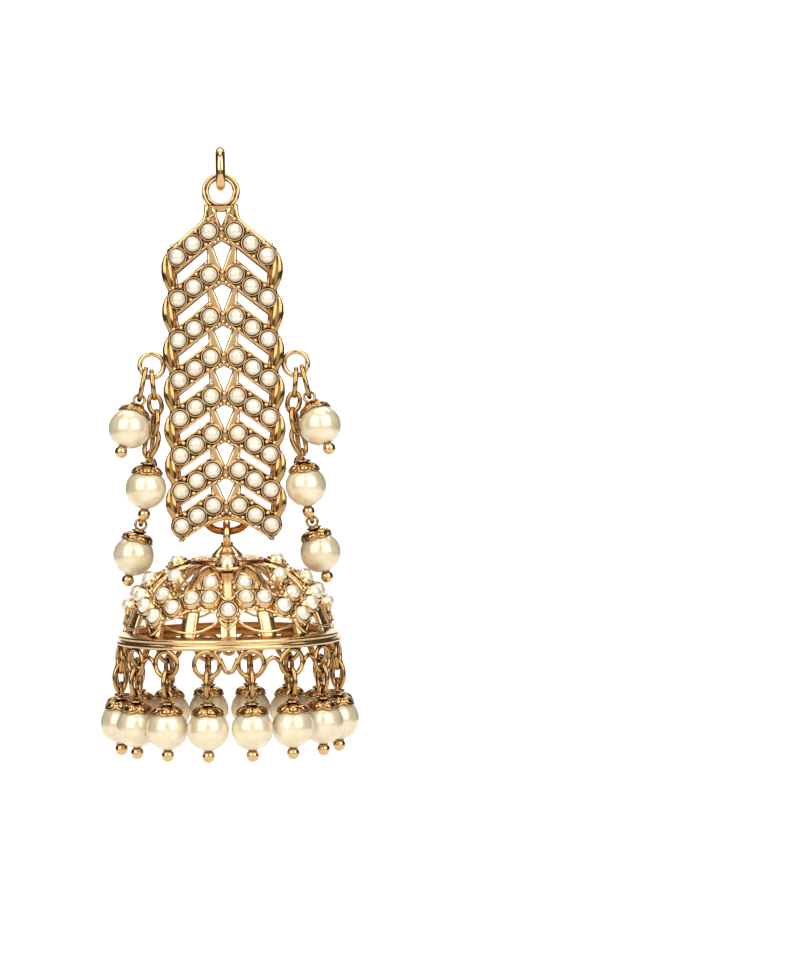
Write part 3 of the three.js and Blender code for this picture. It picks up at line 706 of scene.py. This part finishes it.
bell = Shapes()
crown = [(0.001, bell_top - 0.6), (5.2, bell_top - 0.85), (5.6, bell_top - 0.75), (5.65, bell_top - 0.4),
         (5.3, bell_top - 0.12), (4.4, bell_top + 0.02), (3.2, bell_top + 0.1), (2.6, bell_top + 0.3),
         (2.2, bell_top + 0.7), (1.7, bell_top + 1.2), (1.2, bell_top + 1.6), (0.85, bell_top + 1.95),
         (0.95, bell_top + 2.15), (0.75, finial_top), (0.001, finial_top + 0.05)]
crown_edge = 6          # where the crown's shaded flat ends and the bright finial begins
# The crown's underside and flat are painted shade.
bell.lathe(crown[:crown_edge + 1], 64, BELL_AXIS, 1)
bell.lathe(crown[crown_edge:], 64, BELL_AXIS)
for petal in range(RIBS):
    turn = Matrix.Rotation(2 * math.pi * petal / RIBS, 4, "Z")
    spread = Matrix.Translation((3.9, 0, bell_top - 0.05)) @ Matrix.Diagonal((1.5, 0.75, 1, 1))
    bell.ball((0, 0, 0), 0.9, BELL_AXIS @ turn @ spread, squash=0.4, sides=16)
bell.ring((0, 0, loop_top - LOOP_WIRE / 2 - loop_half), (0, (LOOP_DEPTH - LOOP_WIRE) / 2, 0),
          (0, 0, loop_half), LOOP_WIRE, 48, 16, BELL_AXIS)
rim_profile = [(BELL - BELL_WALL, rim_top + 0.35), (BELL - 0.1, rim_top + 0.4), (BELL + 0.15, rim_top + 0.05),
               (BELL + 0.55, rim_top), (BELL + 0.7, rim_top - 0.15), (BELL + 0.68, rim_top - 0.42),
               (BELL + 0.45, rim_top - 0.58), (BELL + 0.62, rim_top - 0.72), (RIM - 0.1, rim_top - 0.85),
               (RIM, rim_top - 1.1), (RIM - 0.1, rim_top - 1.38), (RIM - 0.45, rim_floor),
               (BELL - 0.6, rim_floor)]
bell.lathe(rim_profile, 128, BELL_AXIS)
# The inside of the rim is painted shade.
rim_inside = [(BELL - 0.6, rim_floor), (BELL - BELL_WALL, rim_floor + 0.1), (BELL - BELL_WALL, rim_top - 0.6),
              (BELL - BELL_WALL + 0.12, rim_top - 0.5), (BELL - BELL_WALL, rim_top - 0.4),
              (BELL - BELL_WALL, rim_top + 0.35)]
bell.lathe(rim_inside, 128, BELL_AXIS, 1)
RIB_TOP_SHARE, RIB_STOPS, RIB_SPREAD = 0.02, 18, 1.6
RIB_SECTION = ((-1.0, -0.15), (-0.85, 0.0), (0.85, 0.0), (1.0, -0.15), (1.0, -0.8), (-1.0, -0.8))
corners = len(RIB_SECTION)
for rib in range(RIBS):
    verts, faces = [], []
    for stop in range(RIB_STOPS):
        share = RIB_TOP_SHARE + (1 - RIB_TOP_SHARE) * stop / (RIB_STOPS - 1)
        half_rib = (RIB_TOP + (RIB_WIDTH - RIB_TOP) * min(1.0, share * RIB_SPREAD)) / 2
        for across, lift in RIB_SECTION:
            verts.append(on_bell(360 * rib / RIBS, share, lift) @ Vector((0, across * half_rib, 0)))
    for stop in range(RIB_STOPS - 1):
        a, b = stop * corners, (stop + 1) * corners
        for k in range(corners):
            faces.append((a + k, a + (k + 1) % corners, b + (k + 1) % corners, b + k))
    faces.append(tuple(reversed(range(corners))))
    faces.append(tuple(range(len(verts) - corners, len(verts))))
    bell.put(verts, faces)
piece("dome_body", bell.build("dome_body", [cast_gold, shaded_gold]), "dome", ["dome"])

# Garland: half pearls glued into cast seats that are soldered over the ribs. 32 zigzag round the
# bell between two edge wires, 20 more stand above them, and thin wires sag over the open ribs.
GARLAND, GARLAND_WIRE, GARLAND_EDGE, LEAF_WIRE, ARCH_WIRE, CROWN_WIRE = 32, 0.2, 0.135, 0.24, 0.22, 0.26
ZIGZAG = (0.63, 0.48, 0.49, 0.6, 0.72, 0.6, 0.49, 0.48)
LEAF = ((-6, 0.06), (-4, 0.14), (-1.5, 0.2), (0, 0.235), (1.5, 0.2), (4, 0.14), (6, 0.06))
SAG = ((5, 0.74), (9, 0.82), (14, 0.88), (20, 0.91), (27, 0.9), (34, 0.86), (40, 0.82))
UPPER = ((12, 0.3, True), (78, 0.3, True), (45, 0.23, True), (45, 0.45, False))
UPPER_PRONGS = ((-7.5, -0.02), (7.5, -0.02), (-5, 0.1), (5, 0.1))
ARCH_WIDTH, ARCH_HEIGHT, CROWN_SHARE, CROWN_EYE, GARLAND_PRONG = 7.5, 0.19, 0.07, (1.75, 2.3), 0.13
garland, garland_stones = Shapes(), Shapes()
garland_step = 360 / GARLAND
for index in range(GARLAND):
    azimuth, share = index * garland_step, ZIGZAG[index % len(ZIGZAG)]
    following = ZIGZAG[(index + 1) % len(ZIGZAG)]
    place = on_bell(azimuth, share, 0.25)
    bezel(garland, place, lift=-0.2)
    cabochon(garland_stones, place)
    for way in (-GARLAND_PRONG, GARLAND_PRONG):
        spot = on_bell(azimuth + garland_step / 2, (share + following) / 2 + way, 0.35)
        garland.ball((0, 0, 0), PRONG, spot, sides=12)
    for edge in (-GARLAND_EDGE, GARLAND_EDGE):
        strand = []
        for i in range(7):
            t = i / 6
            level = share + (following - share) * (0.5 - 0.5 * math.cos(math.pi * t)) + edge
            strand.append(on_bell(azimuth + garland_step * t, level, 0.15).translation)
        garland.tube(strand, GARLAND_WIRE, 8)
    if index % 4 == 0:      # over each dip of the string
        leaf_wire = [on_bell(azimuth + dx, share + dz, 0.2).translation for dx, dz in LEAF]
        garland.tube(leaf_wire, LEAF_WIRE, 8)
for quarter in range(4):
    for side in (-1, 1):
        sagging = [on_bell(90 * quarter + side * off, share, 0.1).translation for off, share in SAG]
        garland.tube(sagging, GARLAND_WIRE, 8)
    for off, share, arched in UPPER:
        azimuth = 90 * quarter + off
        place = on_bell(azimuth, share, 0.2)
        bezel(garland, place, lift=-0.2)
        cabochon(garland_stones, place)
        if arched:
            arch = []
            for angle in range(0, 181, 15):
                turn = math.radians(angle)
                level = share + 0.06 - ARCH_HEIGHT * math.sin(turn)
                arch.append(on_bell(azimuth + ARCH_WIDTH * math.cos(turn), level, 0.15).translation)
            garland.tube(arch, ARCH_WIRE, 8)
        for dx, dz in UPPER_PRONGS:
            garland.ball((0, 0, 0), SMALL_PRONG, on_bell(azimuth + dx, share + dz, 0.25), sides=12)
    place = on_bell(90 * quarter, CROWN_SHARE, 0.2)
    bezel(garland, place, lift=-0.3)
    cabochon(garland_stones, place)
    wide, tall = CROWN_EYE
    turns = [2 * math.pi * i / 24 for i in range(24)]
    frame_wire = [place @ Vector((wide * math.sin(t), tall * math.cos(t), -0.1)) for t in turns]
    garland.tube(frame_wire, CROWN_WIRE, 8, closed=True)
    for side in (-1, 1):
        garland.ball((0, side * 1.95, 0.05), 0.32, place, sides=12)
piece("dome_garland", garland.build("dome_garland", [cast_gold, painted_shade_brown]), "dome")
piece("dome_half_pearls", garland_stones.build("dome_half_pearls", [half_pearl]), "dome")

# Lace and fringe: round wire loops soldered under the rim and joined by curved wires, with a
# link and a pearl drop hung on each loop.
LACE_WIRE, LACE_LOOP, LACE_SINK = 0.58, 4.3, 0.2
LINK_WIRE, LINK_LENGTH, LINK_WIDTH = 0.6, 4.3, 2.2
lace_half = (LACE_LOOP - LACE_WIRE) / 2
lace_radius = RIM - 0.5 * LACE_WIRE - 0.1
lace_z = rim_floor + LACE_SINK - LACE_LOOP / 2


def round_bell(azimuth):
    """The point at height 0 over the lace at an azimuth, 0 at the front."""
    spin = math.radians(azimuth - 90)
    return Vector((math.cos(spin), math.sin(spin), 0)) * lace_radius + BELL_AXIS.translation


CURL = ((0, -lace_half), (3.5, -1.65), (6.3, -0.75), (8.6, 0.4), (11.2, 0.85), (13.8, 0.6), (16, -0.1))
VALLEY = ((-4.6, 0.9), (-3.2, -0.1), (-1.9, -0.95), (0, -1.15), (1.9, -0.95), (3.2, -0.1), (4.6, 0.9))
lace = Shapes()
rib_step = 360 / RIBS
for index in range(RIBS):
    azimuth = (index + 0.5) * rib_step
    spin = Matrix.Rotation(math.radians(azimuth - 90), 4, "Z")
    lace.ring((lace_radius, 0, lace_z), (0, lace_half, 0), (0, 0, lace_half),
              LACE_WIRE + SOLDER_SWELL, 40, 12, BELL_AXIS @ spin)
    if index in (RIBS // 2 - 1, RIBS - 1):      # front and back, where the curls part
        middle, direction, bends = azimuth + rib_step / 2, 1, VALLEY
    elif index == RIBS // 2:                    # cut short beside the back valley
        middle, direction, bends = azimuth, -1, CURL[:4]
    else:
        middle, direction, bends = azimuth, 1 if azimuth < 180 else -1, CURL
    path = [round_bell(middle + direction * dx) + Vector((0, 0, lace_z + dz)) for dx, dz in bends]
    lace.tube(path, (LACE_WIRE + SOLDER_SWELL) / 2, 10)
piece("dome_lace", lace.build("dome_lace", [shade_darkened_gold]), "dome")

link_top = Vector((lace_radius, 0, lace_z - lace_half + LACE_WIRE / 2 + LINK_GAP + LINK_WIRE / 2))
link_foot = link_top - Vector((0, 0, LINK_LENGTH - LINK_WIRE))
rim_link = Shapes()
link_between(rim_link, link_top, link_foot, LINK_WIDTH, LINK_WIRE, 0)
rim_link_mesh = rim_link.build("rim_link", [shade_darkened_gold])
for index in range(RIBS):
    number = f"{index + 1:02d}"
    spin = Matrix.Rotation(math.radians((index + 0.5) * rib_step - 90), 4, "Z")
    around = Matrix.Translation((0, eyelet_end.y * MM, 0)) @ spin
    piece(f"rim_link_wire_{number}", rim_link_mesh, "dome", [f"rim_link_{number}"], around)
    eye = around @ Matrix.Translation(link_foot * MM) @ Matrix.Rotation(math.pi / 2, 4, "Z")
    hang_drop(f"rim_drop_{number}", f"rim_pearl_{number}", "dome", eye)
